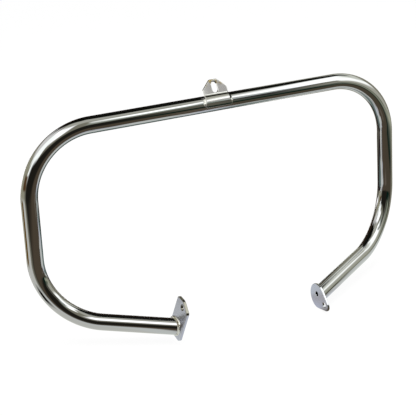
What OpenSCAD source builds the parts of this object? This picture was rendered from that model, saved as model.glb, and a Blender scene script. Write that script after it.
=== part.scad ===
// Motorcycle crash bars: one bent tube with a plate welded on each end, and a folded
// bracket welded on the middle of its top bar. All lengths are in millimetres.
// The origin is the middle of the top bar's centreline. X runs along the bar, Z is up,
// and the two legs sweep back towards -Y, where their plates bolt to the frame.

/* [Tube] */
// Outside diameter of the tube
tube_d = 31.75; // [28:0.05:34]
// Wall of the tube
tube_wall = 2.4; // [1.6:0.1:4]
// Centreline radius of all four bends
bend_r = 127; // [90:1:135]
// Diameter that the tube loses as a bend is drawn
bend_draw = 0.08; // [0.06:0.02:0.4]

/* [Loop] */
// Width between the upper corners, where the centrelines would cross
upper_w = 762; // [680:1:860]
// Width between the lower corners, where the centrelines would cross
lower_w = 782; // [700:1:860]
// Height of the top bar above the lower corners
loop_h = 357; // [320:1:440]
// Angle that the legs sweep back, seen from above
leg_sweep = 29; // [22:0.5:34]
// Angle that the legs fall towards their ends
leg_fall = 5; // [0:0.5:10]
// Length of the left leg, from its lower corner to its end plate
left_leg = 254.5; // [240:0.5:290]
// Length of the right leg, from its lower corner to its end plate
right_leg = 296; // [240:0.5:310]

/* [End plates] */
// Diameter of the bolt hole in each plate
bolt_hole_d = 11; // [8:0.1:12]
// Diameter of the hole that drains plating liquid from each end of the tube
vent_d = 9.6; // [6:0.1:14]
// Height of the vent hole's centre above the tube's centreline
vent_up = 3; // [0:0.1:4]

/* [Left end plate] */
// Thickness
left_plate_t = 6.35; // [4:0.05:8]
// Angle that the bolted face looks down
left_tilt = 12; // [8:0.5:16]
// Angle that the bolted face looks forward
left_yaw = 3; // [0:0.5:6]
// Radius round the end of the tube
left_lobe_r = 19; // [18.6:0.1:21]
// Height above the tube's centreline
left_up = 60.2; // [56:0.1:66]
// Reach behind the tube's centreline
left_back = 37.3; // [34:0.1:40]
// Depth below the tube's centreline
left_down = 21.3; // [20.5:0.1:26]
// Distance of the bolt hole's centre below the plate's top
left_bolt_drop = 14.7; // [12:0.1:16]
// Distance of the bolt hole's centre from the plate's rear edge
left_bolt_inset = 19.3; // [16:0.1:22]

/* [Right end plate] */
// Thickness
right_plate_t = 4.8; // [3:0.05:8]
// Radius round the end of the tube
right_lobe_r = 25.5; // [24:0.1:28]
// Radius of the tip that holds the bolt
right_tip_r = 10; // [9:0.1:12]
// Distance of the tip's centre behind the tube's centreline
right_tip_back = 31; // [28:0.1:36]
// Distance of the tip's centre below the tube's centreline
right_tip_down = 11.5; // [6:0.1:16]
// Distance of the bolt hole's centre from the tip's centre, towards the tube
right_bolt_inset = 4.3; // [0:0.1:6]

/* [Top bracket] */
// Thickness of the folded plate
bracket_t = 4.8; // [3:0.1:6]
// Place along the bar, from its middle
bracket_x = -5; // [-40:0.5:40]
// Width across the tab and the fold
bracket_w = 50.4; // [46:0.2:64]
// Angle that the tab leans forward from upright
tab_lean = 28; // [15:0.5:35]
// Length of the tab above the fold
tab_len = 27.4; // [26:0.1:40]
// Width of the tab's flat top
tab_top_w = 13; // [10:0.2:20]
// Height of the tab's shoulders above the fold
shoulder_h = 8.3; // [6:0.1:12]
// Inside radius of the fold
fold_r = 7; // [2:0.1:9]
// Angle round the bar, from its top, where the saddle leaves the fold
saddle_start = 28.8; // [22:0.1:32]
// Angle that the saddle wraps round the bar
saddle_wrap = 68.2; // [62:0.1:76]
// Width that each side of the saddle gains towards its lower edge
saddle_flare = 2.6; // [0.6:0.1:4]
// Radius of the tab's and the saddle's corners
corner_r = 4; // [2:0.1:5]
// Width of the slot
slot_w = 10.8; // [8:0.1:12]
// Length of the slot over its round ends
slot_l = 21.5; // [16:0.1:22.5]
// Height of the slot's lower end above the fold
slot_up = 1.3; // [0.8:0.1:3]

/* [Welds] */
// Leg of the bead round each end of the tube, at its top
end_bead = 4.4; // [2:0.1:5.5]
// Leg of the same bead under the tube, where the left plate leaves less room
end_bead_low = 1.5; // [1:0.1:4]
// Leg of the beads beside the saddle
saddle_bead = 3.8; // [2:0.1:4.5]

/* [Hidden] */
$fn = 40;
CHROME = "#c9c9d2";
SATIN = "#b4b2bd";
BEAD = "#a39d94";
tube_r = tube_d / 2;

// Centreline of the left half, which the right half mirrors
upper_corner = [-upper_w / 2, 0, 0];
lower_corner = [-lower_w / 2, 0, -loop_h];
side = lower_corner - upper_corner;
leg_dir = [cos(leg_fall) * cos(leg_sweep), -cos(leg_fall) * sin(leg_sweep), -sin(leg_fall)];
upper_turn = angle_between([-1, 0, 0], side);
lower_turn = angle_between(side, leg_dir);
inward = [sin(upper_turn), 0, -cos(upper_turn)];
leg_roll = atan2(-leg_dir.y, leg_dir * inward);
bend_lap = 0.5;

// The right plate stands square to the bar, and the left one is turned
left_turn = [0, left_tilt, left_yaw];
right_turn = [0, 0, 0];

// Largest turn between neighbouring points of an outline's arcs
arc_step = 6;

// Place of the left plate's lobe ahead of and above the tube's centreline
left_lobe_forward = 1;
left_lobe_raise = 1.4;

// Corners of the left plate: radius, distance behind the centreline, drop from the top
left_top_r = 4;
left_top_back = -0.8;
left_shoulder_r = 17.2;
left_shoulder_back = 10;
left_shoulder_drop = 18.7;
left_heel_r = 6;
left_heel_drop = 22.4;
left_foot_r = 5.5;
left_foot_back = 17.5;

// Place of the right plate's lobe behind and below the tube's centreline
right_lobe_back = 1;
right_lobe_down = 1.5;

// Plate outlines as circles [forward, up, radius] about the tube's end, anticlockwise
left_outline = [
    [left_lobe_forward, left_lobe_raise, left_lobe_r],
    [-left_top_back, left_up - left_top_r, left_top_r],
    [-left_shoulder_back, left_up - left_shoulder_drop, left_shoulder_r],
    [left_heel_r - left_back, left_up - left_heel_drop, left_heel_r],
    [-left_foot_back, left_foot_r - left_down, left_foot_r]
];
right_tip = [-right_tip_back, -right_tip_down];
right_outline = [
    [-right_lobe_back, -right_lobe_down, right_lobe_r],
    [right_tip.x, right_tip.y, right_tip_r]
];

// Centres of the bolt holes in the same two directions
left_bolt = [left_bolt_inset - left_back, left_up - left_bolt_drop];
right_bolt = right_tip * (1 - right_bolt_inset / norm(right_tip));

// Side view of the bracket as [y, z]: the fold is an arc about fold_centre, tangent to
// the saddle and to the tab
fold_centre = side_point(tube_r + bracket_t + fold_r, saddle_start);
fold_turn = 90 - tab_lean - saddle_start;
fold_facets = 9;
saddle_facets = 18;
saddle_end = saddle_start + saddle_wrap;

// Half of the saddle seen from the front: straight at first, flared, then a round corner
flare_top = [bracket_w / 2, tube_r * cos(saddle_start), 0];
saddle_corner = [bracket_w / 2 + saddle_flare - corner_r,
                 (tube_r + bracket_t) * cos(saddle_end) + corner_r, corner_r];
flare_end = on_circle(saddle_corner, tangent_angle(saddle_corner, flare_top));

// Share of a flared side by which it runs on up inside the tab's outline, and the
// width of sheet past the bracket on both sides together, before its outline is cut
flare_run_up = 0.2;
sheet_spare = 12;

// Stations round an end weld and along a saddle weld, and points across a bead's face
ring_stations = 40;
side_stations = 12;
face_points = 5;
bead_bulge = 1.4;

// A saddle weld starts at an angle below the fold. Its leg starts and ends at a share
// of the full one, and gains another at each station.
bead_start = 3;
bead_tip = 0.4;
bead_gain = 0.3;

function unit(v) = v / norm(v);
function angle_between(a, b) = acos(unit(a) * unit(b));

// Point [y, z] at a radius, at an angle from the top towards the rear
function side_point(r, a) = r * [-sin(a), cos(a)];

// Angle at which the outer tangent touches circles a and b, on the right of the way to b
function tangent_angle(a, b) =
    let (way = [b.x - a.x, b.y - a.y])
    atan2(way.y, way.x) - acos((a.z - b.z) / norm(way));

function on_circle(c, angle) = [c.x + c.z * cos(angle), c.y + c.z * sin(angle)];

// Points of a convex outline round circles [x, y, radius], given anticlockwise
function outline_points(circles) = [
    for (i = [0:len(circles) - 1])
        let (c = circles[i])
        let (from = tangent_angle(circles[(i + len(circles) - 1) % len(circles)], c))
        let (to = tangent_angle(c, circles[(i + 1) % len(circles)]))
        let (sweep = (to - from + 720) % 360)
        let (steps = c.z > 0 ? ceil(sweep / arc_step) : 0)
        for (k = [0:steps])
            on_circle(c, from + sweep * k / max(1, steps))
];

// Length that a bend takes from the straight on each side of its corner
function bend_take(turn) = bend_r * tan(turn / 2);

// Straights and bends from the middle of the bar to past one end: each row is
// [length of the straight, roll before the bend, angle of the bend]
function half_run(leg) = [
    [upper_w / 2 - bend_take(upper_turn), 0, upper_turn],
    [norm(side) - bend_take(upper_turn) - bend_take(lower_turn), leg_roll, lower_turn],
    [leg - bend_take(lower_turn) + tube_d, 0, 0]
];

// A bend that starts at the origin along +Z and turns towards +X. It runs on a little
// inside the straights at both its ends.
module bend(r, turn) {
    rotate([90, 0, 180])
        translate([-bend_r, 0, 0])
            rotate(-bend_lap)
                rotate_extrude(angle = turn + 2 * bend_lap)
                    translate([bend_r, 0]) circle(r - bend_draw / 2);
}

// A round bar of radius r that follows the rows of a run, from row i on
module bent_bar(r, run, i = 0) {
    straight = run[i][0];
    roll = run[i][1];
    turn = run[i][2];
    cylinder(r = r, h = straight);
    if (i + 1 < len(run))
        translate([0, 0, straight])
            rotate(roll) {
                bend(r, turn);
                translate([bend_r, 0, 0])
                    rotate([0, turn, 0])
                        translate([-bend_r, 0, 0])
                            bent_bar(r, run, i + 1);
            }
}

// Both halves of the centreline as a round bar, a little longer than the tube
module whole_bar(r) {
    rotate([180, 90, 0]) bent_bar(r, half_run(left_leg));
    mirror([1, 0, 0])
        rotate([180, 90, 0]) bent_bar(r, half_run(right_leg));
}

// Frames of the end plates: origin on the centreline, X out through the bolted face
module at_left_end() {
    translate(lower_corner + left_leg * leg_dir)
        rotate(left_turn) children();
}
module at_right_end() {
    mirror([1, 0, 0])
        translate(lower_corner + right_leg * leg_dir)
            rotate(right_turn) children();
}

// Space past the back face of an end plate
module beyond_end() {
    span = 4 * tube_d;
    translate([0, -span / 2, -span / 2]) cube(span);
}

// A flat plate with its outline across X, its back face at x = 0
module flat_plate(outline, thick, bolt) {
    rotate([90, 0, 90])
        linear_extrude(thick)
            difference() {
                polygon(outline_points(outline));
                translate(bolt) circle(d = bolt_hole_d);
                translate([0, vent_up]) circle(d = vent_d);
            }
}

// Closes a loft through rings of points, either round on itself or with two end caps
module loft(rings, closed) {
    n = len(rings);
    k = len(rings[0]);
    spans = closed ? n : n - 1;
    sides = [for (i = [0:spans - 1], j = [0:k - 1])
        [i * k + j, i * k + (j + 1) % k, ((i + 1) % n) * k + (j + 1) % k, ((i + 1) % n) * k + j]];
    caps = closed ? [] : [[for (j = [k - 1:-1:0]) j], [for (j = [0:k - 1]) (n - 1) * k + j]];
    polyhedron([for (ring = rings) each ring], concat(sides, caps), convexity = 4);
}

// Shares of a bead's two legs at each point of its convex face
bead_face = [for (i = [0:face_points - 1])
    let (t = 90 * i / (face_points - 1))
    [pow(cos(t), bead_bulge), pow(sin(t), bead_bulge)]];

// Direction of the leg in the frame of its plate
function leg_in_plate(turn) =
    let (c = cos(turn.z), s = sin(turn.z))
    let (flat = [c * leg_dir.x + s * leg_dir.y, c * leg_dir.y - s * leg_dir.x, leg_dir.z])
    [cos(turn.y) * flat.x - sin(turn.y) * flat.z, flat.y, sin(turn.y) * flat.x + cos(turn.y) * flat.z];

// Bead in the corner between the tube and the back of a plate, in the plate's frame
module end_bead_ring(turn) {
    along = leg_in_plate(turn);
    across = unit(cross([0, 0, 1], along));
    above = cross(along, across);
    loss = end_bead - end_bead_low;
    r = tube_r / cos(180 / ring_stations);
    loft([for (i = [0:ring_stations - 1])
        let (a = 360 * i / ring_stations)
        let (out = cos(a) * across + sin(a) * above)
        let (root = r * (out - along * out.x / along.x))
        let (leg = end_bead - loss * pow((1 - sin(a)) / 2, 2))
        let (on_plate = leg * unit([0, out.y, out.z]))
        let (on_tube = -leg * along)
        concat([root], [for (f = bead_face) root + f[0] * on_tube + f[1] * on_plate])
    ], true);
}

// The folded sheet, wider than the bracket: its side view, extruded along the bar
module folded_sheet() {
    up_tab = (tab_len + corner_r) * side_point(1, -tab_lean);
    fold_end = 180 + saddle_start;
    tab_end = fold_end + fold_turn;
    fold_step = fold_turn / fold_facets;
    saddle_step = saddle_wrap / saddle_facets;
    front = concat(
        [fold_centre + side_point(fold_r, tab_end) + up_tab],
        [for (i = [fold_facets:-1:0]) fold_centre + side_point(fold_r, fold_end + i * fold_step)],
        [for (i = [1:saddle_facets]) side_point(tube_r + bracket_t, saddle_start + i * saddle_step)]
    );
    inside = [for (a = [saddle_end, saddle_start]) side_point(tube_r / 2, a)];
    back = concat(
        [for (i = [1:fold_facets]) fold_centre + side_point(fold_r + bracket_t, fold_end + i * fold_step)],
        [fold_centre + side_point(fold_r + bracket_t, tab_end) + up_tab]
    );
    rotate([90, 0, 90])
        linear_extrude(bracket_w + 2 * saddle_flare + sheet_spare, center = true)
            polygon(concat(front, inside, back));
}

// Extrudes an outline [across, up the tab from the fold] square through the tab
module through_tab() {
    translate([0, fold_centre.x, fold_centre.y])
        rotate([90 - tab_lean, 0, 0])
            linear_extrude(2 * tube_d, center = true) children();
}

// The tab's outline, which runs down inside the saddle's
module tab_outline() {
    shoulder_x = bracket_w / 2 - corner_r;
    polygon(outline_points([
        [-bracket_w / 2, -tube_r, 0],
        [bracket_w / 2, -tube_r, 0],
        [shoulder_x, shoulder_h, corner_r],
        [tab_top_w / 2, tab_len - corner_r, corner_r],
        [-tab_top_w / 2, tab_len - corner_r, corner_r],
        [-shoulder_x, shoulder_h, corner_r]
    ]));
}

// The saddle's outline from the front. Its flared sides run on up, inside the tab's.
module saddle_outline() {
    top = flare_top + flare_run_up * (flare_top - [flare_end.x, flare_end.y, 0]);
    polygon(outline_points([
        [-top.x, top.y, 0],
        [-saddle_corner.x, saddle_corner.y, corner_r],
        saddle_corner,
        top
    ]));
}

module slot_outline() {
    slot_r = slot_w / 2;
    straight = slot_l - slot_w;
    translate([0, slot_up + slot_r]) {
        translate([-slot_r, 0]) square([slot_w, straight]);
        circle(slot_r);
        translate([0, straight]) circle(slot_r);
    }
}

// Half width of the saddle at a height z above the bar's centreline
function saddle_edge(z) =
    let (share = (z - flare_top.y) / (flare_end.y - flare_top.y))
    flare_top.x + max(0, share) * (flare_end.x - flare_top.x);

// Bead along the right side of the saddle, thin at both ends
module saddle_bead_run() {
    first = saddle_start + bead_start;
    last = acos(flare_end.y / tube_r);
    step = (last - first) / (side_stations - 1);
    r = tube_r / cos(step / 2);
    loft([for (i = [0:side_stations - 1])
        let (a = first + i * step)
        let (from_tip = min(i, side_stations - 1 - i))
        let (leg = saddle_bead * min(1, bead_tip + bead_gain * from_tip))
        [for (f = concat([[0, 0]], bead_face))
            let (up = r + leg * f[1])
            [saddle_edge(up * cos(a)) + leg * f[0], -up * sin(a), up * cos(a)]]
    ], false);
}

module bent_tube() {
    color(CHROME)
        difference() {
            whole_bar(tube_r);
            whole_bar(tube_r - tube_wall);
            at_left_end() beyond_end();
            at_right_end() beyond_end();
        }
}

module top_bracket() {
    color(SATIN)
        translate([bracket_x, 0, 0])
            difference() {
                intersection() {
                    folded_sheet();
                    union() {
                        through_tab() tab_outline();
                        rotate([90, 0, 0]) linear_extrude(tube_d) saddle_outline();
                    }
                }
                through_tab() slot_outline();
                rotate([0, 90, 0]) cylinder(r = tube_r, h = upper_w / 2, center = true);
            }
}

module left_end_plate() {
    color(SATIN)
        at_left_end() flat_plate(left_outline, left_plate_t, left_bolt);
}

module right_end_plate() {
    color(SATIN)
        at_right_end() flat_plate(right_outline, right_plate_t, right_bolt);
}

module left_end_weld() {
    color(BEAD)
        at_left_end() end_bead_ring(left_turn);
}

module right_end_weld() {
    color(BEAD)
        at_right_end() end_bead_ring(right_turn);
}

module bracket_left_weld() {
    color(BEAD)
        translate([bracket_x, 0, 0])
            mirror([1, 0, 0]) saddle_bead_run();
}

module bracket_right_weld() {
    color(BEAD)
        translate([bracket_x, 0, 0]) saddle_bead_run();
}

bent_tube();
top_bracket();
left_end_plate();
right_end_plate();
left_end_weld();
right_end_weld();
bracket_left_weld();
bracket_right_weld();
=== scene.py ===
import math

import bmesh
import bpy
from bpy.props import FloatProperty, FloatVectorProperty, IntProperty, PointerProperty
from mathutils import Matrix, Vector


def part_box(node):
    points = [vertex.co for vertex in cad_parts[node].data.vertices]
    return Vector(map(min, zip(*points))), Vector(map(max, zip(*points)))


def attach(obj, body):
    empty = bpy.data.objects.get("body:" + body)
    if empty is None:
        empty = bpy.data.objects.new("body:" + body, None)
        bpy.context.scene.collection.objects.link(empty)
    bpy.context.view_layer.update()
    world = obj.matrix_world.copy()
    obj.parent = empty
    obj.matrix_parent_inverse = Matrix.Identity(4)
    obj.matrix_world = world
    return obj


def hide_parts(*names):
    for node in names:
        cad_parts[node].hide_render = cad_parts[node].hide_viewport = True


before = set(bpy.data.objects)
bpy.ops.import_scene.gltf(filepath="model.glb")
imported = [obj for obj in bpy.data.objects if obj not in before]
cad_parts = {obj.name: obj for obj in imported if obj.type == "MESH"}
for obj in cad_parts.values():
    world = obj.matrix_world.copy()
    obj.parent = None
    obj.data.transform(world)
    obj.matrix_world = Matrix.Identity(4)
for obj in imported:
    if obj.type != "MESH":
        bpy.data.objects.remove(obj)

bl_info = {
    "name": "Motorcycle crash bars",
    "version": (1, 0, 0),
    "blender": (4, 5, 0),
    "location": "View3D > Sidebar > Crash bars",
    "description": "Dresses the packed crash bars in chrome and sets up their studio",
    "category": "Object",
}

MM = 0.001


def linear(hex_colour):
    """An sRGB hex colour as linear red, green, blue and alpha."""
    channels = [int(hex_colour[i:i + 2], 16) / 255 for i in (1, 3, 5)]
    return tuple(c / 12.92 if c <= 0.04045 else ((c + 0.055) / 1.055) ** 2.4
                 for c in channels) + (1.0,)


def put(tree, kind, inputs=None, **settings):
    """Adds a node. Settings are its properties, and inputs its values or links by socket."""
    node = tree.nodes.new(kind)
    for name, value in settings.items():
        setattr(node, name, value)
    for socket, value in (inputs or {}).items():
        if isinstance(value, bpy.types.NodeSocket):
            tree.links.new(value, node.inputs[socket])
        else:
            node.inputs[socket].default_value = value
    return node


# Sizes and colours that a user would change
def length(name, description, millimetres):
    """A length as a property, in metres."""
    return FloatProperty(name=name, description=description, default=millimetres * MM,
                         unit="LENGTH")


def angle(name, description, degrees):
    """An angle as a property, in radians."""
    return FloatProperty(name=name, description=description, default=math.radians(degrees),
                         unit="ROTATION")


def colour(name, description, hex_colour):
    """A colour as a property, linear and with its alpha."""
    return FloatVectorProperty(name=name, description=description, default=linear(hex_colour),
                               subtype="COLOR", size=4)


class TubeSizes(bpy.types.PropertyGroup):
    diameter: length("Diameter", "Outside diameter of the tube", 31.75)
    wall: length("Wall", "Wall of the tube", 2.4)
    bend: length("Bend radius", "Centreline radius of the bends", 127)
    upper_width: length("Upper width", "Width between the upper corners", 762)
    lower_width: length("Lower width", "Width between the lower corners", 782)
    height: length("Height", "Height of the top bar above the lower corners", 357)
    sweep: angle("Leg sweep", "Angle that the legs sweep back", 29)
    fall: angle("Leg fall", "Angle that the legs fall towards their ends", 5)
    left_leg: length("Left leg", "Length of the left leg from its corner", 254.5)
    right_leg: length("Right leg", "Length of the right leg from its corner", 296)
    segments: IntProperty(name="Segments", description="Faces round the tube", default=96)


class PlateSizes(bpy.types.PropertyGroup):
    left_thick: length("Left thickness", "Thickness of the left end plate", 6.35)
    right_thick: length("Right thickness", "Thickness of the right end plate", 4.8)
    left_tilt: angle("Left tilt", "Angle that the left face looks down", 12)
    left_yaw: angle("Left turn", "Angle that the left face looks forward", 3)
    bolt_hole: length("Bolt hole", "Diameter of the bolt holes", 11)
    vent_hole: length("Vent hole", "Diameter of the vent holes", 9.6)
    vent_up: length("Vent height", "Height of the vent above the centreline", 3)
    edge: length("Edge radius", "Radius polished on the plates' edges", 1.3)


class BracketSizes(bpy.types.PropertyGroup):
    thick: length("Thickness", "Thickness of the folded plate", 4.8)
    place: length("Place", "Place along the bar from its middle", -5)
    width: length("Width", "Width across the tab and the fold", 50.4)
    lean: angle("Tab lean", "Angle that the tab leans forward", 28)
    tab: length("Tab length", "Length of the tab above the fold", 27.4)
    tab_top: length("Tab top", "Width of the tab's flat top", 13)
    shoulder: length("Shoulders", "Height of the shoulders above the fold", 8.3)
    fold: length("Fold radius", "Inside radius of the fold", 7)
    start: angle("Saddle start", "Angle from the bar's top to the saddle", 28.8)
    wrap: angle("Saddle wrap", "Angle that the saddle wraps round the bar", 68.2)
    flare: length("Flare", "Width gained on each side of the saddle", 2.6)
    corner: length("Corner radius", "Radius of the outline's corners", 4)
    slot_width: length("Slot width", "Width of the slot", 10.8)
    slot_length: length("Slot length", "Length of the slot over its ends", 21.5)
    slot_up: length("Slot height", "Height of the slot's end above the fold", 1.3)
    edge: length("Edge radius", "Radius ground on the bracket's edges", 1.4)


class WeldSizes(bpy.types.PropertyGroup):
    end_leg: length("End bead", "Leg of the bead round each end of the tube", 4.4)
    end_low: length("End bead below", "Leg of the same bead under the tube", 1.5)
    saddle_leg: length("Saddle bead", "Leg of the beads beside the saddle", 3.8)
    pitch: length("Ripple pitch", "Distance between a bead's ripples", 2.4)
    depth: length("Ripple depth", "Depth of the ripples", 0.35)


class Finishes(bpy.types.PropertyGroup):
    chrome: colour("Chrome", "Colour of the bright chrome", "#bcbcc0")
    satin: colour("Satin chrome", "Colour of the plates", "#b7b9ca")
    bracket: colour("Bracket chrome", "Colour of the bracket", "#bcbbbc")
    bead: colour("Weld chrome", "Colour of the plated beads", "#d0cecb")
    edge: colour("Edge chrome", "Colour of the plates' edges", "#cbccd4")
    # Painted shade: a darker edge colour for the left plate's shoulder, standing in for the dark
    # reflections of its curved edge
    shoulder: colour("Shoulder chrome", "Colour of the left plate's shoulder edge", "#8c8982")
    # Painted shade: near-black laid down the right side of the bracket's fold and on the beads
    # beside it
    painted_fold_shade: colour("Crevice", "Colour of the folds that the plating doesn't reach", "#1e1c1a")
    stain: colour("Weld stain", "Colour of the stain beside the beads", "#6a4f3a")
    olive: colour("Tab stain", "Colour of the stain on the tab's top", "#9c8a5c")


# Shapes that several pieces share
def circle_outline(circles, step=math.radians(5)):
    """Points of a convex outline round circles (x, y, radius), given anticlockwise."""
    def turn_to(a, b):
        dx, dy = b[0] - a[0], b[1] - a[1]
        return math.atan2(dy, dx) - math.acos((a[2] - b[2]) / math.hypot(dx, dy))
    points = []
    for i, c in enumerate(circles):
        first = turn_to(circles[i - 1], c)
        sweep = (turn_to(c, circles[(i + 1) % len(circles)]) - first) % (2 * math.pi)
        steps = max(1, math.ceil(sweep / step))
        for k in range(steps + 1):
            a = first + sweep * k / steps
            points.append(Vector((c[0] + c[2] * math.cos(a), c[1] + c[2] * math.sin(a))))
    return points


def round_hole(x, y, radius, count=64):
    """Points of a round hole, clockwise."""
    turns = [-2 * math.pi * k / count for k in range(count)]
    return [Vector((x + radius * math.cos(a), y + radius * math.sin(a))) for a in turns]


def inset(points, distance):
    """The closed outline moved to its left by a distance, with its corners mitred."""
    moved = []
    for i, p in enumerate(points):
        before = (p - points[i - 1]).normalized()
        after = (points[(i + 1) % len(points)] - p).normalized()
        a, b = Vector((-before.y, before.x)), Vector((-after.y, after.x))
        moved.append(p + (a + b) * (distance / (1 + a.dot(b))))
    return moved


def cut_sheet(outline, holes, thick, edge, rounds=5):
    """A flat sheet across Z, centred on its thickness, with all its edges rounded."""
    sheet = bmesh.new()
    rims = {-1: [], 1: []}
    for loop in [outline] + holes:
        rings = []
        for side in (-1, 1):
            for k in range(rounds + 1):
                a = math.pi / 2 * (k / rounds if side > 0 else 1 - k / rounds)
                z = side * (thick / 2 - edge * (1 - math.sin(a)))
                flat = inset(loop, edge * (1 - math.cos(a)))
                rings.append([sheet.verts.new((p.x, p.y, z)) for p in flat])
        for low, high in zip(rings, rings[1:]):
            for i in range(len(loop)):
                sheet.faces.new((low[i - 1], low[i], high[i], high[i - 1]))
        for side, ring in ((-1, rings[0]), (1, rings[-1])):
            rims[side] += [sheet.edges.get((ring[i - 1], ring[i])) for i in range(len(loop))]
    for rim in rims.values():
        bmesh.ops.triangle_fill(sheet, use_beauty=True, edges=rim)
    bmesh.ops.recalc_face_normals(sheet, faces=sheet.faces)
    return sheet


def finished(name, shape, material, nodes):
    """Makes an object of a bmesh, with flat faces kept flat, in place of its CAD nodes."""
    mesh = bpy.data.meshes.new(name)
    shape.to_mesh(mesh)
    shape.free()
    mesh.shade_smooth()
    piece = bpy.data.objects.new(name, mesh)
    bpy.context.scene.collection.objects.link(piece)
    piece.modifiers.new("Flat faces first", "WEIGHTED_NORMAL").weight = 100
    piece.data = evaluated(piece)
    piece.modifiers.clear()
    piece.data.materials.clear()
    piece.data.materials.append(material)
    return riding(piece, nodes)


def evaluated(piece):
    """A plain mesh of an object with its modifiers."""
    bpy.context.view_layer.update()
    graph = bpy.context.evaluated_depsgraph_get()
    return bpy.data.meshes.new_from_object(piece.evaluated_get(graph), depsgraph=graph)


def riding(piece, nodes):
    """Puts a finished piece on the frame in place of its CAD nodes."""
    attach(piece, "root")
    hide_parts(*nodes)
    return piece


# Where the tube runs and how its ends are turned
STATION = 6 * MM
BEND_STEP = math.radians(1.25)


def leg_direction(tube):
    """Direction of the left leg, from its corner to its plate."""
    level = math.cos(tube.fall)
    return Vector((level * math.cos(tube.sweep), -level * math.sin(tube.sweep),
                   -math.sin(tube.fall)))


def end_frame(tube, plates, left):
    """Place and turn of an end plate: origin on the centreline, X out through its face."""
    corner = Vector((-tube.lower_width / 2, 0, -tube.height))
    end = corner + leg_direction(tube) * (tube.left_leg if left else tube.right_leg)
    if left:
        turn = Matrix.Rotation(plates.left_yaw, 4, "Z") @ Matrix.Rotation(plates.left_tilt, 4, "Y")
        return Matrix.Translation(end) @ turn
    return Matrix.Diagonal((-1, 1, 1, 1)) @ Matrix.Translation(end)


def centreline(tube, past_end):
    """Points of the tube's centreline, from past the left end to past the right one."""
    lean = leg_direction(tube)
    half = [Vector((-tube.upper_width / 2, 0, 0)), Vector((-tube.lower_width / 2, 0, -tube.height))]
    left_end = half[1] + lean * (tube.left_leg + past_end)
    right_end = half[1] + lean * (tube.right_leg + past_end)
    flip = Vector((-1, 1, 1))
    corners = [left_end, half[1], half[0], half[0] * flip, half[1] * flip, right_end * flip]
    points = []
    start = corners[0]
    for before, here, after in zip(corners, corners[1:], corners[2:]):
        u, w = (here - before).normalized(), (after - here).normalized()
        turn = u.angle(w)
        take = tube.bend * math.tan(turn / 2)
        foot = here - u * take
        inward = (w - u * u.dot(w)).normalized()
        points += spaced(start, foot, STATION)
        steps = math.ceil(turn / BEND_STEP)
        for k in range(steps):
            a = turn * k / steps
            points.append(foot + tube.bend * (inward * (1 - math.cos(a)) + u * math.sin(a)))
        start = here + w * take
    return points + spaced(start, corners[-1], STATION) + [corners[-1]]


def spaced(a, b, step):
    """Points from a up to b, about a step apart, without b."""
    count = max(1, round((b - a).length / step))
    return [a.lerp(b, k / count) for k in range(count)]


# Finishes, named for what the real surfaces are
def empty_tree(owner):
    """The node tree of a material or a world, with nothing in it."""
    owner.use_nodes = True
    owner.node_tree.nodes.clear()
    return owner.node_tree


def begin_finish(name):
    """A new material, its empty tree and the coordinates that its patterns read."""
    material = bpy.data.materials.new(name)
    tree = empty_tree(material)
    return material, tree, put(tree, "ShaderNodeTexCoord").outputs


def end_finish(tree, tint, roughness, relief, strength, depth):
    """Ends a finish in plated metal, with a relief of a depth in metres."""
    bump = put(tree, "ShaderNodeBump", {"Height": relief, "Strength": strength, "Distance": depth})
    shader = put(tree, "ShaderNodeBsdfPrincipled", {
        "Base Color": tint, "Metallic": 1.0, "Roughness": roughness,
        "Normal": bump.outputs["Normal"]})
    put(tree, "ShaderNodeOutputMaterial", {"Surface": shader.outputs["BSDF"]})


def bright_chrome(finish):
    """Chrome plated on a polished tube: a mirror, with faint smears and polishing waves.

    The smears lie some 36 mm apart, and the waves 17 mm.
    """
    material, tree, place = begin_finish("bright_chrome_plated_tube")
    smears = put(tree, "ShaderNodeTexNoise", {
        "Vector": place["Object"], "Scale": 28.0, "Detail": 4.0})
    gloss = put(tree, "ShaderNodeMapRange", {
        "Value": smears.outputs["Fac"], "From Min": 0.35, "From Max": 0.7,
        "To Min": 0.03, "To Max": 0.06})
    waves = put(tree, "ShaderNodeTexNoise", {
        "Vector": place["Object"], "Scale": 60.0, "Detail": 1.0})
    end_finish(tree, finish.chrome, gloss.outputs["Result"], waves.outputs["Fac"], 0.06, 0.4 * MM)
    return material


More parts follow.
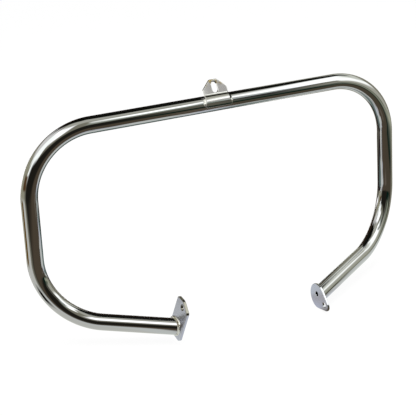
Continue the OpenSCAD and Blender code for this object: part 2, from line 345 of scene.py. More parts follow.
def satin_chrome(finish):
    """Chrome over steel plate: ground faces look dull, and polished edges look bright.

    The grinding lines are 0.3 mm apart and 4 mm long, and the duller clouds are 22 mm apart.
    The edge is painted darker on the left plate's shoulder, which alone is above 344 mm under the
    bar, as painted shade for the dark reflections of its curve.
    """
    material, tree, place = begin_finish("satin_chrome_plated_plate")
    stretch = put(tree, "ShaderNodeMapping", {"Vector": place["Object"], "Scale": (1.0, 14.0, 1.0)})
    grind = put(tree, "ShaderNodeTexNoise", {
        "Vector": stretch.outputs["Vector"], "Scale": 260.0, "Detail": 3.0})
    clouds = put(tree, "ShaderNodeTexNoise", {
        "Vector": place["Object"], "Scale": 45.0, "Detail": 3.0})
    gloss = put(tree, "ShaderNodeMapRange", {
        "Value": clouds.outputs["Fac"], "From Min": 0.3, "From Max": 0.7,
        "To Min": 0.2, "To Max": 0.3})
    facing = put(tree, "ShaderNodeSeparateXYZ", {"Vector": place["Normal"]})
    square = put(tree, "ShaderNodeMath", {0: facing.outputs["X"]}, operation="ABSOLUTE")
    face = put(tree, "ShaderNodeMapRange", {
        "Value": square.outputs[0], "From Min": 0.9, "From Max": 0.96})
    dull = put(tree, "ShaderNodeMath", {0: gloss.outputs["Result"], 1: face.outputs["Result"]},
               operation="MULTIPLY")
    rough = put(tree, "ShaderNodeMath", {0: dull.outputs[0], 1: 0.06}, operation="MAXIMUM")
    spot = put(tree, "ShaderNodeSeparateXYZ", {"Vector": place["Object"]})
    # Painted shade: above 344 mm under the bar the edge takes the darker shoulder colour, for the
    # dark reflections of its curve
    shoulder = put(tree, "ShaderNodeMapRange", {
        "Value": spot.outputs["Z"], "From Min": -344 * MM, "From Max": -341 * MM})
    edge = put(tree, "ShaderNodeMixRGB", {
        "Fac": shoulder.outputs["Result"], "Color1": finish.edge, "Color2": finish.shoulder})
    tint = put(tree, "ShaderNodeMixRGB", {
        "Fac": face.outputs["Result"], "Color1": edge.outputs["Color"], "Color2": finish.satin})
    end_finish(tree, tint.outputs["Color"], rough.outputs[0], grind.outputs["Fac"], 0.15, 0.1 * MM)
    return material


def bracket_chrome(finish):
    """Chrome over folded sheet: bright, over faint rolling marks 1 mm apart and 6 mm long.

    The top 8 mm of the tab turns olive in spots, and a black line of painted shade runs down
    the right side of the fold.
    """
    material, tree, place = begin_finish("chrome_plated_folded_sheet")
    stretch = put(tree, "ShaderNodeMapping", {"Vector": place["Object"], "Scale": (1.0, 6.0, 6.0)})
    rolling = put(tree, "ShaderNodeTexNoise", {
        "Vector": stretch.outputs["Vector"], "Scale": 160.0, "Detail": 3.0})
    clouds = put(tree, "ShaderNodeTexNoise", {
        "Vector": place["Object"], "Scale": 70.0, "Detail": 3.0})
    gloss = put(tree, "ShaderNodeMapRange", {
        "Value": clouds.outputs["Fac"], "From Min": 0.3, "From Max": 0.7,
        "To Min": 0.05, "To Max": 0.09})
    spot = put(tree, "ShaderNodeSeparateXYZ", {"Vector": place["Object"]})
    high = put(tree, "ShaderNodeMapRange", {
        "Value": spot.outputs["Z"], "From Min": 32 * MM, "From Max": 40 * MM})
    spots = put(tree, "ShaderNodeTexNoise", {
        "Vector": place["Object"], "Scale": 150.0, "Detail": 2.0})
    patchy = put(tree, "ShaderNodeMapRange", {
        "Value": spots.outputs["Fac"], "From Min": 0.42, "From Max": 0.58})
    stained = put(tree, "ShaderNodeMath", {0: high.outputs["Result"], 1: patchy.outputs["Result"]},
                  operation="MULTIPLY")
    olive = put(tree, "ShaderNodeMixRGB", {
        "Fac": stained.outputs[0], "Color1": finish.bracket, "Color2": finish.olive})
    # Painted shade: a black line along the bracket's right edge, 9 to 21 mm up, beside the fold
    right = put(tree, "ShaderNodeMapRange", {
        "Value": spot.outputs["X"], "From Min": 18.2 * MM, "From Max": 18.9 * MM})
    beside = put(tree, "ShaderNodeMath", {0: spot.outputs["Z"], 1: 15 * MM, 2: 6 * MM},
                 operation="COMPARE")
    painted_fold_shade = put(tree, "ShaderNodeMath", {0: right.outputs["Result"], 1: beside.outputs[0]},
                  operation="MULTIPLY")
    tint = put(tree, "ShaderNodeMixRGB", {
        "Fac": painted_fold_shade.outputs[0], "Color1": olive.outputs["Color"], "Color2": finish.painted_fold_shade})
    end_finish(tree, tint.outputs["Color"], gloss.outputs["Result"], rolling.outputs["Fac"],
               0.1, 0.1 * MM)
    return material


def weld_chrome(finish):
    """Chrome over a rippled weld: bright crests, and brown spots 6 mm apart of thin plating.

    The beads are painted black above 11 to 12.5 mm beside the bracket's fold, as painted shade.
    """
    material, tree, place = begin_finish("chrome_plated_weld")
    spots = put(tree, "ShaderNodeTexNoise", {
        "Vector": place["Object"], "Scale": 160.0, "Detail": 4.0})
    amount = put(tree, "ShaderNodeMapRange", {
        "Value": spots.outputs["Fac"], "From Min": 0.58, "From Max": 0.72})
    worn = put(tree, "ShaderNodeMixRGB", {
        "Fac": amount.outputs["Result"], "Color1": finish.bead, "Color2": finish.stain})
    spot = put(tree, "ShaderNodeSeparateXYZ", {"Vector": place["Object"]})
    slant = put(tree, "ShaderNodeMath", {0: spot.outputs["X"], 1: 0.1, 2: spot.outputs["Z"]},
                operation="MULTIPLY_ADD")
    # Painted shade: the beads go black above 11 to 12.5 mm, beside the bracket's fold
    folded = put(tree, "ShaderNodeMapRange", {
        "Value": slant.outputs[0], "From Min": 11 * MM, "From Max": 12.5 * MM})
    tint = put(tree, "ShaderNodeMixRGB", {
        "Fac": folded.outputs["Result"], "Color1": worn.outputs["Color"], "Color2": finish.painted_fold_shade})
    gloss = put(tree, "ShaderNodeMapRange", {
        "Value": amount.outputs["Result"], "To Min": 0.05, "To Max": 0.3})
    end_finish(tree, tint.outputs["Color"], gloss.outputs["Result"], spots.outputs["Fac"],
               0.4, 0.3 * MM)
    return material


# Trees that run tube along a path and ripple a weld
def tree_with(name, sizes):
    """An empty Geometry Nodes tree whose inputs are a geometry, named sizes and a material."""
    tree = bpy.data.node_groups.new(name, "GeometryNodeTree")
    tree.interface.new_socket("Geometry", in_out="INPUT", socket_type="NodeSocketGeometry")
    for size, kind in sizes.items():
        tree.interface.new_socket(size, in_out="INPUT", socket_type=kind)
    tree.interface.new_socket("Material", in_out="INPUT", socket_type="NodeSocketMaterial")
    tree.interface.new_socket("Geometry", in_out="OUTPUT", socket_type="NodeSocketGeometry")
    return tree


def run_tree(piece, tree, values):
    """The plain mesh that a tree makes of an object, with its inputs set by identifier."""
    modifier = piece.modifiers.new(tree.name, "NODES")
    modifier.node_group = tree
    for item in tree.interface.items_tree:
        if item.item_type == "SOCKET" and item.in_out == "INPUT" and item.name in values:
            modifier[item.identifier] = values[item.name]
    mesh = evaluated(piece)
    piece.modifiers.remove(modifier)
    return mesh


def end_tree(tree, geometry, material):
    """Ends a tree in smooth, real faces of a material."""
    smooth = put(tree, "GeometryNodeSetShadeSmooth", {"Geometry": geometry})
    real = put(tree, "GeometryNodeRealizeInstances", {"Geometry": smooth.outputs["Geometry"]})
    coated = put(tree, "GeometryNodeSetMaterial", {
        "Geometry": real.outputs["Geometry"], "Material": material})
    put(tree, "NodeGroupOutput", {"Geometry": coated.outputs["Geometry"]})
    return tree


def tube_tree():
    """Runs a tube with a wall along a line of edges."""
    tree = tree_with("Tube along a centreline", {
        "Diameter": "NodeSocketFloat", "Wall": "NodeSocketFloat", "Segments": "NodeSocketInt"})
    given = put(tree, "NodeGroupInput").outputs
    path = put(tree, "GeometryNodeMeshToCurve", {"Mesh": given["Geometry"]})
    radius = put(tree, "ShaderNodeMath", {0: given["Diameter"], 1: 0.5}, operation="MULTIPLY")
    bore = put(tree, "ShaderNodeMath", {0: radius.outputs[0], 1: given["Wall"]},
               operation="SUBTRACT")
    profile = put(tree, "GeometryNodeJoinGeometry")
    for size in (radius, bore):
        ring = put(tree, "GeometryNodeCurvePrimitiveCircle", {
            "Resolution": given["Segments"], "Radius": size.outputs[0]})
        tree.links.new(ring.outputs["Curve"], profile.inputs["Geometry"])
    swept = put(tree, "GeometryNodeCurveToMesh", {
        "Curve": path.outputs["Curve"], "Profile Curve": profile.outputs["Geometry"]})
    return end_tree(tree, swept.outputs["Mesh"], given["Material"])


def ripple_tree():
    """Raises ripples on a bead: a saw of the distance along it, uneven by a seeded noise."""
    tree = tree_with("Weld ripples", {
        "Pitch": "NodeSocketFloat", "Depth": "NodeSocketFloat", "Unevenness": "NodeSocketFloat",
        "Seed": "NodeSocketFloat"})
    given = put(tree, "NodeGroupInput").outputs
    along = put(tree, "GeometryNodeInputNamedAttribute", {"Name": "along"}, data_type="FLOAT")
    crown = put(tree, "GeometryNodeInputNamedAttribute", {"Name": "crown"}, data_type="FLOAT")
    share, pitch = crown.outputs["Attribute"], given["Pitch"]
    skew = put(tree, "ShaderNodeMath", {0: share, 1: pitch}, operation="MULTIPLY")
    bowed = put(tree, "ShaderNodeMath", {0: along.outputs["Attribute"], 1: skew.outputs[0]},
                operation="ADD")
    place = put(tree, "GeometryNodeInputPosition")
    noise = put(tree, "ShaderNodeTexNoise", {
        "Vector": place.outputs["Position"], "Scale": 300.0, "Detail": 2.0, "W": given["Seed"]},
        noise_dimensions="4D")
    shift = put(tree, "ShaderNodeMath", {0: noise.outputs["Fac"], 1: given["Unevenness"]},
                operation="MULTIPLY")
    uneven = put(tree, "ShaderNodeMath", {0: bowed.outputs[0], 1: shift.outputs[0]},
                 operation="ADD")
    count = put(tree, "ShaderNodeMath", {0: uneven.outputs[0], 1: pitch}, operation="DIVIDE")
    saw = put(tree, "ShaderNodeMath", {0: count.outputs[0]}, operation="FRACT")
    crest = put(tree, "ShaderNodeMath", {0: saw.outputs[0], 1: 2.0}, operation="POWER")
    high = put(tree, "ShaderNodeMath", {0: crest.outputs[0], 1: given["Depth"]},
               operation="MULTIPLY")
    faded = put(tree, "ShaderNodeMath", {0: high.outputs[0], 1: share}, operation="MULTIPLY")
    normal = put(tree, "GeometryNodeInputNormal")
    offset = put(tree, "ShaderNodeVectorMath", {
        0: normal.outputs["Normal"], "Scale": faded.outputs[0]}, operation="SCALE")
    raised = put(tree, "GeometryNodeSetPosition", {
        "Geometry": given["Geometry"], "Offset": offset.outputs["Vector"]})
    return end_tree(tree, raised.outputs["Geometry"], given["Material"])


def bead_shape(rings, closed):
    """Lofts a bead through rings of points, with its distance along and its crown's share."""
    shape = bmesh.new()
    along = shape.verts.layers.float.new("along")
    crown = shape.verts.layers.float.new("crown")
    rows = []
    gone = 0.0
    for i, ring in enumerate(rings):
        if i:
            gone += (ring[0] - rings[i - 1][0]).length
        row = []
        for j, point in enumerate(ring):
            vert = shape.verts.new(point)
            vert[along] = gone
            vert[crown] = math.sin(math.pi * max(0, j - 1) / (len(ring) - 2)) if j else 0.0
            row.append(vert)
        rows.append(row)
    pairs = list(zip(rows, rows[1:])) + ([(rows[-1], rows[0])] if closed else [])
    for a, b in pairs:
        for j in range(len(a)):
            shape.faces.new((a[j - 1], a[j], b[j], b[j - 1]))
    if not closed:
        shape.faces.new(rows[0])
        shape.faces.new(list(reversed(rows[-1])))
    bmesh.ops.recalc_face_normals(shape, faces=shape.faces)
    return shape


def bead_face(count=12, bulge=1.4):
    """Shares of a bead's two legs at the points of its convex face."""
    turns = [math.pi / 2 * k / count for k in range(count + 1)]
    return [(max(0, math.cos(a)) ** bulge, max(0, math.sin(a)) ** bulge) for a in turns]


def rippled(name, shape, sizes, seed, material, node):
    """A bead with its ripples, in place of its CAD node."""
    mesh = bpy.data.meshes.new(name)
    shape.to_mesh(mesh)
    shape.free()
    piece = bpy.data.objects.new(name, mesh)
    bpy.context.scene.collection.objects.link(piece)
    tree = bpy.data.node_groups.get("Weld ripples") or ripple_tree()
    piece.data = run_tree(piece, tree, {"Pitch": sizes.pitch, "Depth": sizes.depth,
                                        "Unevenness": 1.6 * MM, "Seed": seed, "Material": material})
    return riding(piece, [node])


# The plates' outlines as circles (forward, up, radius), and their bolt holes (forward, up), in
# millimetres round the end of the tube's centreline
LEFT_PLATE = ((1, 1.4, 19), (0.8, 56.2, 4), (-10, 41.5, 17.2), (-31.3, 37.8, 6),
              (-17.5, -15.8, 5.5))
RIGHT_PLATE = ((-1, -1.5, 25.5), (-31, -11.5, 10))
LEFT_BOLT, RIGHT_BOLT = (-18, 45.5), (-26.97, -10)


class CRASH_OT_tube(bpy.types.Operator):
    """Runs the chrome tube along its centreline and cuts its ends at the plates"""
    bl_idname = "crash.tube"
    bl_label = "Bent tube"

    def execute(self, context):
        tube, plates = context.scene.crash_tube, context.scene.crash_plates
        points = centreline(tube, tube.diameter)
        path = bpy.data.meshes.new("bent_tube_path")
        path.from_pydata(points, [(i, i + 1) for i in range(len(points) - 1)], [])
        piece = bpy.data.objects.new("bent_tube_chrome", path)
        context.scene.collection.objects.link(piece)
        material = bright_chrome(context.scene.crash_finish)
        piece.data = run_tree(piece, tube_tree(), {
            "Diameter": tube.diameter, "Wall": tube.wall, "Segments": tube.segments,
            "Material": material})
        shape = bmesh.new()
        shape.from_mesh(piece.data)
        for left in (True, False):
            place = end_frame(tube, plates, left)
            end, out = place.translation, place.to_3x3().col[0]
            near = [f for f in shape.faces
                    if (f.calc_center_median() - end).length < 3 * tube.diameter]
            cut = dict.fromkeys(near)
            for face in near:
                cut.update(dict.fromkeys([*face.edges, *face.verts]))
            made = bmesh.ops.bisect_plane(shape, geom=list(cut), plane_co=end, plane_no=out,
                                          clear_outer=True)
            rim = [e for e in made["geom_cut"] if isinstance(e, bmesh.types.BMEdge)]
            bmesh.ops.bridge_loops(shape, edges=rim)
        bmesh.ops.recalc_face_normals(shape, faces=shape.faces)
        shape.to_mesh(piece.data)
        shape.free()
        riding(piece, ["bent_tube"])
        return {"FINISHED"}


class CRASH_OT_end_plates(bpy.types.Operator):
    """Cuts the two end plates, with their bolt and vent holes and polished edges"""
    bl_idname = "crash.end_plates"
    bl_label = "End plates"

    def execute(self, context):
        tube, plates = context.scene.crash_tube, context.scene.crash_plates
        material = satin_chrome(context.scene.crash_finish)
        for left, circles, bolt, thick, name in (
                (True, LEFT_PLATE, LEFT_BOLT, plates.left_thick, "left_end_plate"),
                (False, RIGHT_PLATE, RIGHT_BOLT, plates.right_thick, "right_end_plate")):
            outline = circle_outline([[v * MM for v in c] for c in circles])
            holes = [round_hole(bolt[0] * MM, bolt[1] * MM, plates.bolt_hole / 2),
                     round_hole(0, plates.vent_up, plates.vent_hole / 2)]
            sheet = cut_sheet(outline, holes, thick, plates.edge)
            stand = Matrix(((0, 0, 1, thick / 2), (1, 0, 0, 0), (0, 1, 0, 0), (0, 0, 0, 1)))
            bmesh.ops.transform(sheet, matrix=end_frame(tube, plates, left) @ stand,
                                verts=sheet.verts)
            bmesh.ops.recalc_face_normals(sheet, faces=sheet.faces)
            finished(name + "_satin", sheet, material, [name])
        return {"FINISHED"}


class CRASH_OT_bracket(bpy.types.Operator):
    """Cuts the bracket flat, with its slot, and bends it round its fold and the bar"""
    bl_idname = "crash.bracket"
    bl_label = "Top bracket"
    slot_steps, fold_steps, saddle_steps, side_steps = 24, 8, 30, 36

    def execute(self, context):
        size, tube = context.scene.crash_bracket, context.scene.crash_tube
        bar = tube.diameter / 2
        middle = bar + size.thick / 2
        fold_turn = math.pi / 2 - size.lean - size.start
        fold_long = (size.fold + size.thick / 2) * fold_turn
        saddle_long = middle * size.wrap
        flat = self.outline(size, bar, fold_long)
        slot = size.slot_width / 2
        low, high = size.slot_up + slot, size.slot_up + size.slot_length - slot
        turns = [math.pi * k / self.slot_steps for k in range(self.slot_steps + 1)]
        hole = [Vector((slot * math.cos(a), high + slot * math.sin(a))) for a in turns]
        hole += [Vector((-slot * math.cos(a), low - slot * math.sin(a))) for a in turns]
        sheet = cut_sheet(flat, [list(reversed(hole))], size.thick, size.edge)
        stations = [-fold_long * k / self.fold_steps for k in range(self.fold_steps + 1)]
        stations += [-fold_long - saddle_long * k / self.saddle_steps
                     for k in range(1, self.saddle_steps)]
        for at in stations:
            bmesh.ops.bisect_plane(sheet, geom=sheet.verts[:] + sheet.edges[:] + sheet.faces[:],
                                   plane_co=(0, at, 0), plane_no=(0, 1, 0), dist=1e-6)
        spoke = Vector((0, -math.sin(size.start), math.cos(size.start)))
        centre = spoke * (bar + size.thick + size.fold)
        up = Vector((0, math.sin(size.lean), math.cos(size.lean)))
        out = Vector((0, -math.cos(size.lean), math.sin(size.lean)))
        for vert in sheet.verts:
            x, s, t = vert.co
            if s >= 0:
                spot = centre + up * s - out * (size.fold + size.thick / 2 - t)
            elif s >= -fold_long:
                a = -s / (size.fold + size.thick / 2)
                spoke = -out * math.cos(a) - up * math.sin(a)
                spot = centre + spoke * (size.fold + size.thick / 2 - t)
            else:
                a = size.start + (-s - fold_long) / middle
                spot = Vector((0, -math.sin(a), math.cos(a))) * (middle + t)
            vert.co = (x + size.place, spot.y, spot.z)
        bmesh.ops.recalc_face_normals(sheet, faces=sheet.faces)
        material = bracket_chrome(context.scene.crash_finish)
        finished("top_bracket_chrome", sheet, material, ["top_bracket"])
        return {"FINISHED"}

    def outline(self, size, bar, fold_long):
        """The flat bracket, anticlockwise: across, and along from the tab's foot."""
        middle = bar + size.thick / 2
        last = size.start + size.wrap
        half = size.width / 2
        top_z = bar * math.cos(size.start)
        corner = (half + size.flare - size.corner,
                  (bar + size.thick) * math.cos(last) + size.corner)
        side = []
        for k in range(self.side_steps + 1):
            a = last - size.wrap * k / self.side_steps
            z = middle * math.cos(a)
            if z >= corner[1]:
                x = half + size.flare * max(0, (top_z - z) / (top_z - corner[1]))
            else:
                x = corner[0] + math.sqrt(max(0, size.corner ** 2 - (z - corner[1]) ** 2))
            side.append(Vector((x, -fold_long - middle * (a - size.start))))
        shoulder = [(half - size.corner, size.shoulder, size.corner),
                    (size.tab_top / 2, size.tab - size.corner, size.corner),
                    (-size.tab_top / 2, size.tab - size.corner, size.corner),
                    (-half + size.corner, size.shoulder, size.corner),
                    (-half + size.corner, -size.corner, size.corner),
                    (half - size.corner, -size.corner, size.corner)]
        tab = [p for p in circle_outline(shoulder) if p.y > 0.5 * size.corner]
        tab.sort(key=lambda p: math.atan2(p.y, p.x))
        return side + tab + [Vector((-p.x, p.y)) for p in reversed(side)]


class CRASH_OT_end_welds(bpy.types.Operator):
    """Lays the beads round both ends of the tube"""
    bl_idname = "crash.end_welds"
    bl_label = "End welds"
    steps = 240

    def execute(self, context):
        scene = context.scene
        tube, plates, weld = scene.crash_tube, scene.crash_plates, scene.crash_welds
        material = bpy.data.materials.get("chrome_plated_weld") or weld_chrome(scene.crash_finish)
        flip = Matrix.Diagonal((-1, 1, 1))
        for left, node in ((True, "left_end_weld"), (False, "right_end_weld")):
            place = end_frame(tube, plates, left)
            out = place.to_3x3().col[0]
            leg = leg_direction(tube) if left else flip @ leg_direction(tube)
            across = Vector((0, 0, 1)).cross(leg).normalized()
            above = leg.cross(across)
            rings = []
            for i in range(self.steps):
                a = 2 * math.pi * i / self.steps
                spoke = across * math.cos(a) + above * math.sin(a)
                slide = spoke - leg * (spoke.dot(out) / leg.dot(out))
                root = place.translation + tube.diameter / 2 * slide
                size = weld.end_leg - (weld.end_leg - weld.end_low) * ((1 - math.sin(a)) / 2) ** 2
                on_plate = (spoke - out * spoke.dot(out)).normalized() * size
                rings.append([root] + [root - leg * size * f[0] + on_plate * f[1]
                                       for f in bead_face()])
            rippled(node + "_rippled", bead_shape(rings, True), weld, 3.0 + left, material, node)
        return {"FINISHED"}


class CRASH_OT_saddle_welds(bpy.types.Operator):
    """Lays the beads down both sides of the saddle"""
    bl_idname = "crash.saddle_welds"
    bl_label = "Saddle welds"
    steps = 60

    def execute(self, context):
        scene = context.scene
        bracket, weld = scene.crash_bracket, scene.crash_welds
        bar = scene.crash_tube.diameter / 2
        material = bpy.data.materials.get("chrome_plated_weld") or weld_chrome(scene.crash_finish)
        half = bracket.width / 2
        top_z = bar * math.cos(bracket.start)
        low_z = (bar + bracket.thick) * math.cos(bracket.start + bracket.wrap) + bracket.corner
        first, last = bracket.start + math.radians(3), math.acos(low_z / bar)
        for side, node in ((-1, "bracket_left_weld"), (1, "bracket_right_weld")):
            rings = []
            for i in range(self.steps + 1):
                a = first + (last - first) * i / self.steps
                # The bead starts and ends at two fifths of its leg
                from_tip = min(i, self.steps - i) / self.steps
                leg = weld.saddle_leg * min(1, 0.4 + 3.3 * from_tip)
                ring = []
                for f in [(0, 0)] + bead_face():
                    up = bar + leg * f[1]
                    flare = max(0, (top_z - up * math.cos(a)) / (top_z - low_z))
                    edge = half + bracket.flare * flare
                    ring.append(Vector((bracket.place + side * (edge + leg * f[0]),
                                        -up * math.sin(a), up * math.cos(a))))
                rings.append(ring)
            rippled(node + "_rippled", bead_shape(rings, False), weld, 5.0 + side, material, node)
        return {"FINISHED"}


# What the chrome mirrors: soft cards round the bars, over the colour of the table. Each has a
# turn from the front towards the right, a height, its soft edges (all in degrees), a colour and
# a glow, and a later card covers an earlier one
TABLE = "#f3f8f0"
CARDS = (
    ("room", (-180, 180), (-20, 95), (1, 3), "#9c9a87", 1.00),
    ("ceiling", (-180, 180), (65, 95), (1, 12), "#d8d9c9", 1.00),
    ("left window", (-155, -75), (39, 67), (17, 12), "#fefffc", 2.35),
    ("left window's foot", (-126, -73), (8, 58), (1, 9), "#fafff8", 1.96),
    ("left pale wall", (-80, -15), (28, 59), (12, 9), "#fffff8", 1.12),
    ("left low wall", (-90, -32), (-24, 25), (1, 12), "#bbb99f", 1.00),
    ("right window", (66, 169), (40, 59), (17, 6), "#fcfff8", 2.39),
    ("right window's foot", (86, 134), (14, 63), (1, 12), "#fcfff8", 2.10),
    ("right pale wall", (20, 102), (28, 50), (17, 12), "#fbffef", 1.07),
    ("right low wall", (86, 148), (-4, 19), (4, 12), "#d2d2c0", 1.00),
    ("post", (141, 154), (-23, 39), (16, 1), "#363837", 1.00),
    ("wall behind", (-21, 28), (-16, 70), (1, 12), "#392c23", 1.00),
    ("dark ceiling behind", (-40, 77), (38, 83), (17, 5), "#0e0f0a", 1.00),
    ("black wall behind", (-2, 44), (29, 64), (1, 6), "#1b1c18", 1.00),
    ("dark side of the room", (159, 256), (-32, 25), (17, 12), "#282620", 1.00),
    ("olive wall", (-102, -72), (1, 14), (15, 3), "#674b2b", 1.00),
    ("bright far edge", (-11, 37), (-10, -8), (8, 1), "#fffdf7", 4.29),
    ("dark far edge", (-57, 40), (-36, -18), (10, 4), "#27111a", 1.00),
    ("floor behind", (-38, 76), (-52, -28), (9, 12), "#7c8f88", 1.00),
    ("near floor", (-94, -52), (-49, -7), (2, 5), "#eef0e5", 1.00),
    ("dark mark", (-89, -77), (-24, -20), (1, 1), "#030303", 1.00),
    ("dark floor", (105, 250), (-60, -14), (11, 9), "#615646", 1.00),
    ("darker right floor", (97, 166), (-34, -8), (13, 3), "#5d5545", 1.00),
    ("olive edge", (-75, -56), (-15, -8), (2, 2), "#785800", 1.00),
    ("dark edge of the table", (98, 166), (-13, -1), (9, 2), "#02261e", 1.00),
    ("pale edge of the dark floor", (85, 117), (-73, -43), (8, 3), "#d5d1c6", 1.00),
    ("strip on the dark floor", (135, 159), (-35, -25), (8, 6), "#7b7162", 1.00),
    ("light strip on the right", (79, 137), (-8, -1), (2, 9), "#d1d5ba", 1.00),
    ("dim strip on the right", (113, 155), (-3, 2), (6, 9), "#5d6755", 1.00),
    ("pale strip in the window", (141, 151), (29, 48), (4, 2), "#dfded9", 1.00),
    ("pale wall right of the window", (138, 177), (32, 34), (4, 9), "#e1fff4", 1.05),
    ("white screen behind", (-34, -16), (-9, 0), (3, 2), "#ffffff", 2.17),
    ("lavender floor", (25, 112), (-60, -44), (4, 12), "#ebf0f4", 1.00),
    ("pale table under the left plate", (-140, -104), (-75, -48), (6, 4), "#d7dbe0", 1.00),
    ("window's lower corner", (131, 139), (34, 42), (3, 3), "#ffffff", 2.17),
)


def fade(share):
    """A smooth step from 0 to 1."""
    share = min(1, max(0, share))
    return share * share * (3 - 2 * share)


def room_colour(turn, height):
    """The room's glow in a direction in degrees, with its cards laid over one another."""
    seen = linear(TABLE)[:3]
    for _, (left, right), (low, high), (soft, soft_up), paint, glow in CARDS:
        off = abs((turn - (left + right) / 2 + 180) % 360 - 180)
        half = (right - left) / 2
        cover = 1.0 if half >= 180 else fade((half - off) / soft + 0.5)
        cover *= fade((height - low) / soft_up + 0.5) * fade((high - height) / soft_up + 0.5)
        seen = [c * (1 - cover) + p * glow * cover for c, p in zip(seen, linear(paint))]
    return (*seen, 1.0)


def seen_ray(tree):
    """1 on the rays of the camera, of mirrors and of clear pieces, and 0 on those that light."""
    ray = put(tree, "ShaderNodeLightPath").outputs
    seen = put(tree, "ShaderNodeMath", {0: ray["Is Camera Ray"], 1: ray["Is Glossy Ray"]},
               operation="MAXIMUM")
    both = put(tree, "ShaderNodeMath", {0: seen.outputs[0], 1: ray["Is Transmission Ray"]},
               operation="MAXIMUM")
    return both.outputs[0]


def on_stage(name, mesh, material):
    """Puts a piece of the studio in the scene, which isn't part of the bars."""
    piece = bpy.data.objects.new(name, mesh)
    mesh.materials.append(material)
    bpy.context.scene.collection.objects.link(piece)
    return piece


# How far the floor reaches, and the room's middle and reach, in metres
FLOOR_REACH = 12.0
ROOM_MIDDLE, ROOM_REACH = Vector((0, -0.1, -0.2)), 1.5


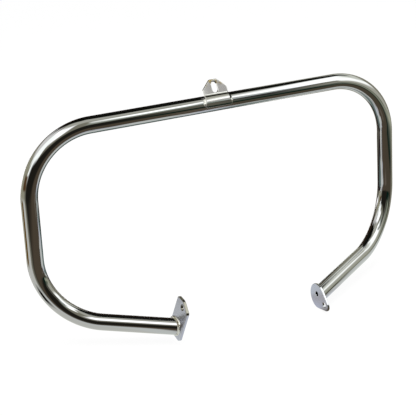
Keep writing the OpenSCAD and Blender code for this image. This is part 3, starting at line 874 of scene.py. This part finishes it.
class CRASH_OT_studio(bpy.types.Operator):
    """Sets the camera, the surround, the floor, the lamp and the room that the chrome mirrors"""
    bl_idname = "crash.studio"
    bl_label = "Studio"

    def execute(self, context):
        scene = context.scene
        scene.view_settings.view_transform = "Standard"
        lowest = min(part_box(name)[0].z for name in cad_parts)
        self.camera(scene)
        self.world(scene)
        self.floor(lowest)
        self.room(lowest + 0.5 * MM)
        self.lamp(scene)
        return {"FINISHED"}

    def camera(self, scene):
        """The camera fitted to the photograph: its right, up and back, and where it stands."""
        eye = bpy.data.objects.new("photograph_camera", bpy.data.cameras.new("photograph_camera"))
        right = Vector((0.90237071, -0.42773587, -0.05262243))
        up = Vector((0.19990645, 0.30727007, 0.93038837))
        back = -Vector((0.38179118, 0.85007478, -0.36277867))
        turn = Matrix((right, up, back)).transposed().to_4x4()
        eye.matrix_world = Matrix.Translation(Vector((-770.976, -1644.966, 491.852)) * MM) @ turn
        eye.data.lens = 84.757
        eye.data.sensor_width = 36.0
        eye.data.clip_start = 0.01
        scene.collection.objects.link(eye)
        scene.camera = eye

    def world(self, scene):
        """A plain pale surround, white where the camera and the metal look at it."""
        world = bpy.data.worlds.new("plain_white_surround")
        scene.world = world
        tree = empty_tree(world)
        strength = put(tree, "ShaderNodeMapRange", {
            "Value": seen_ray(tree), "To Min": 0.8, "To Max": 1.0})
        glow = put(tree, "ShaderNodeBackground", {
            "Color": (1, 1, 1, 1), "Strength": strength.outputs["Result"]})
        put(tree, "ShaderNodeOutputWorld", {"Surface": glow.outputs["Background"]})

    def floor(self, lowest):
        """White paper under the bars: mostly its own white to the eye, with a faint shadow."""
        mesh = bpy.data.meshes.new("floor")
        corners = [(x * FLOOR_REACH, y * FLOOR_REACH, lowest)
                   for x, y in ((-1, -1), (1, -1), (1, 1), (-1, 1))]
        mesh.from_pydata(corners, [], [(0, 1, 2, 3)])
        material = bpy.data.materials.new("white_paper_floor")
        tree = empty_tree(material)
        share = put(tree, "ShaderNodeMath", {0: seen_ray(tree), 1: 0.88}, operation="MULTIPLY")
        paper = put(tree, "ShaderNodeBsdfDiffuse", {"Color": linear("#f4f4f4")})
        white = put(tree, "ShaderNodeEmission", {"Color": (1, 1, 1, 1), "Strength": 1.03})
        mixed = put(tree, "ShaderNodeMixShader", {
            0: share.outputs[0], 1: paper.outputs["BSDF"], 2: white.outputs["Emission"]})
        put(tree, "ShaderNodeOutputMaterial", {"Surface": mixed.outputs["Shader"]})
        on_stage("floor", mesh, material)

    def room(self, lowest):
        """The room that only the metal mirrors: walls, windows and dark sides, and the table."""
        mesh = bpy.data.meshes.new("mirrored_room")
        turns, heights = range(-180, 180), range(-90, 91)
        points, colours, faces = [], [], []
        for height in heights:
            level, rise = math.cos(math.radians(height)), math.sin(math.radians(height))
            reach = ROOM_REACH if rise >= 0 else min(ROOM_REACH, (lowest - ROOM_MIDDLE.z) / rise)
            for turn in turns:
                a = math.radians(turn)
                way = Vector((level * math.sin(a), level * math.cos(a), rise))
                points.append(ROOM_MIDDLE + way * reach)
                colours += room_colour(turn, height)
        row = len(turns)
        for i in range(len(heights) - 1):
            for j in range(row):
                k = (j + 1) % row
                faces.append((i * row + j, (i + 1) * row + j, (i + 1) * row + k, i * row + k))
        mesh.from_pydata(points, [], faces)
        paint = mesh.color_attributes.new("room", "FLOAT_COLOR", "POINT")
        paint.data.foreach_set("color", colours)
        material = bpy.data.materials.new("softly_lit_room")
        tree = empty_tree(material)
        painted = put(tree, "ShaderNodeAttribute", attribute_name="room")
        glow = put(tree, "ShaderNodeEmission", {"Color": painted.outputs["Color"]})
        put(tree, "ShaderNodeOutputMaterial", {"Surface": glow.outputs["Emission"]})
        room = on_stage("mirrored_room", mesh, material)
        room.visible_camera = room.visible_diffuse = room.visible_shadow = False

    def lamp(self, scene):
        """A soft lamp overhead, which gives the floor the bars' faint shadow."""
        light = bpy.data.lights.new("overhead_softbox", "AREA")
        light.shape = "RECTANGLE"
        light.size, light.size_y = 2.4, 1.6
        light.energy = 40
        lamp = bpy.data.objects.new("overhead_softbox", light)
        lamp.location = (0, -0.2, 2.2)
        lamp.visible_camera = lamp.visible_glossy = False
        scene.collection.objects.link(lamp)


class CRASH_PT_panel(bpy.types.Panel):
    """Buttons that make the pieces and the studio"""
    bl_idname = "CRASH_PT_panel"
    bl_label = "Crash bars"
    bl_space_type = "VIEW_3D"
    bl_region_type = "UI"
    bl_category = "Crash bars"

    def draw(self, context):
        for maker in MAKERS:
            self.layout.operator(maker.bl_idname)
        for name in SETTINGS:
            group = getattr(context.scene, name)
            box = self.layout.box()
            for setting in group.bl_rna.properties:
                if setting.identifier not in ("rna_type", "name"):
                    box.prop(group, setting.identifier)


MAKERS = (CRASH_OT_studio, CRASH_OT_tube, CRASH_OT_end_plates, CRASH_OT_bracket, CRASH_OT_end_welds,
          CRASH_OT_saddle_welds)
SETTINGS = {"crash_tube": TubeSizes, "crash_plates": PlateSizes, "crash_bracket": BracketSizes,
            "crash_welds": WeldSizes, "crash_finish": Finishes}


def register():
    for kind in (*SETTINGS.values(), *MAKERS, CRASH_PT_panel):
        bpy.utils.register_class(kind)
    for name, kind in SETTINGS.items():
        setattr(bpy.types.Scene, name, PointerProperty(type=kind))


def unregister():
    for name in SETTINGS:
        delattr(bpy.types.Scene, name)
    for kind in (CRASH_PT_panel, *reversed(MAKERS), *SETTINGS.values()):
        bpy.utils.unregister_class(kind)


def main():
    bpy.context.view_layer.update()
    register()
    for maker in MAKERS:
        space, name = maker.bl_idname.split(".")
        getattr(getattr(bpy.ops, space), name)()


if __name__ == "__main__":
    main()
